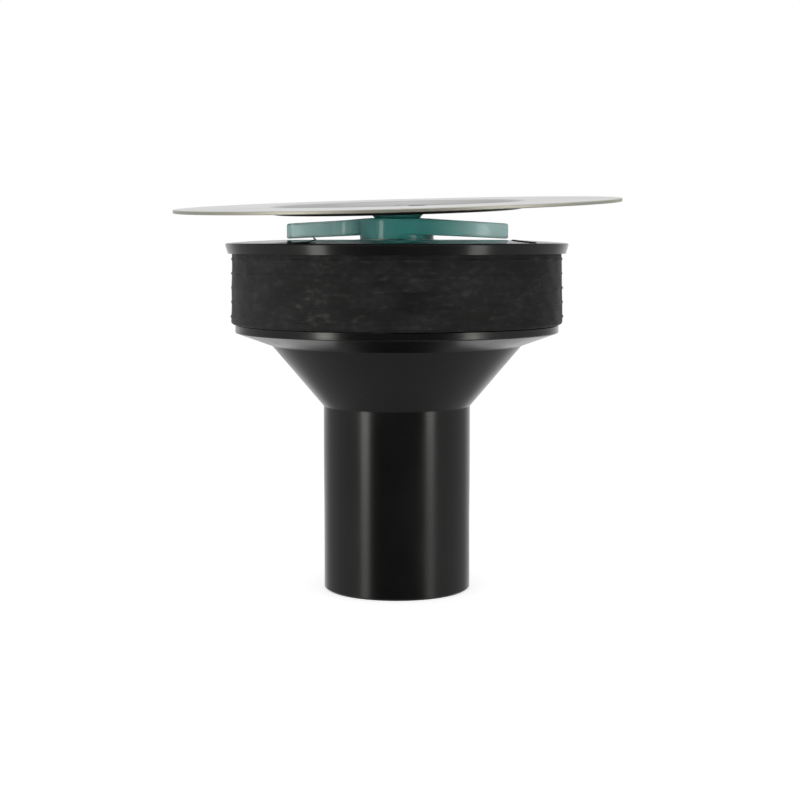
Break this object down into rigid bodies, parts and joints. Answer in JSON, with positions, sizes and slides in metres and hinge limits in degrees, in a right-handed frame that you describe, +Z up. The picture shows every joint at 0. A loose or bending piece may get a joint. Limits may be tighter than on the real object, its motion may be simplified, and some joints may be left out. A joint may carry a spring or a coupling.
{
  "type": "tileable floor drain",
  "caption": "Round floor drain that clamps into a pipe's end with a rubber sleeve and a wing nut, under a dished steel plate that carries a tile.",
  "frame": {"origin": "centre of the spigot's lower end, on the drain's axis", "axes": "+Z up along the drain's axis, +X to the right and -Y to the front of the pictured view; at rest the wing nut's wings lie along X"},
  "size_m": [0.1208, 0.1207, 0.1081],
  "materials": {
    "body_plastic": "glossy moulded black",
    "cover_plastic": "glossy moulded black",
    "sleeve_rubber": "matte black rubber with a pale bloom",
    "teal_plastic": "slightly translucent grey-teal moulding",
    "plate_steel": "pressed stainless steel",
    "fastener_steel": "plain steel"
  },
  "bodies": {
    "body": {"drain_body": "body_plastic", "clamp_bolt": "fastener_steel", "sealing_sleeve": "sleeve_rubber"},
    "cover": {"clamp_cover": "cover_plastic", "thrust_washer": "fastener_steel"},
    "wing": {"wing_nut": "teal_plastic", "clamp_nut": "fastener_steel", "plate_boss": "teal_plastic", "plate_screw": "fastener_steel", "tile_plate": "plate_steel"}
  },
  "joints": [
    {"name": "cover_slide", "type": "slide", "parent": "body", "child": "cover", "axis": [0, 0, -1], "range_m": [0, 0.0031], "deforming": ["sealing_sleeve"]},
    {"name": "wing_turn", "type": "hinge", "parent": "cover", "child": "wing", "pos_m": [0, 0, 0.09547], "axis": [0, 0, -1], "range_deg": [0, 1080]}
  ],
  "couplings": [
    {"joint": "cover_slide", "follows": "wing_turn", "m_per_rad": 0.00015915}
  ]
}
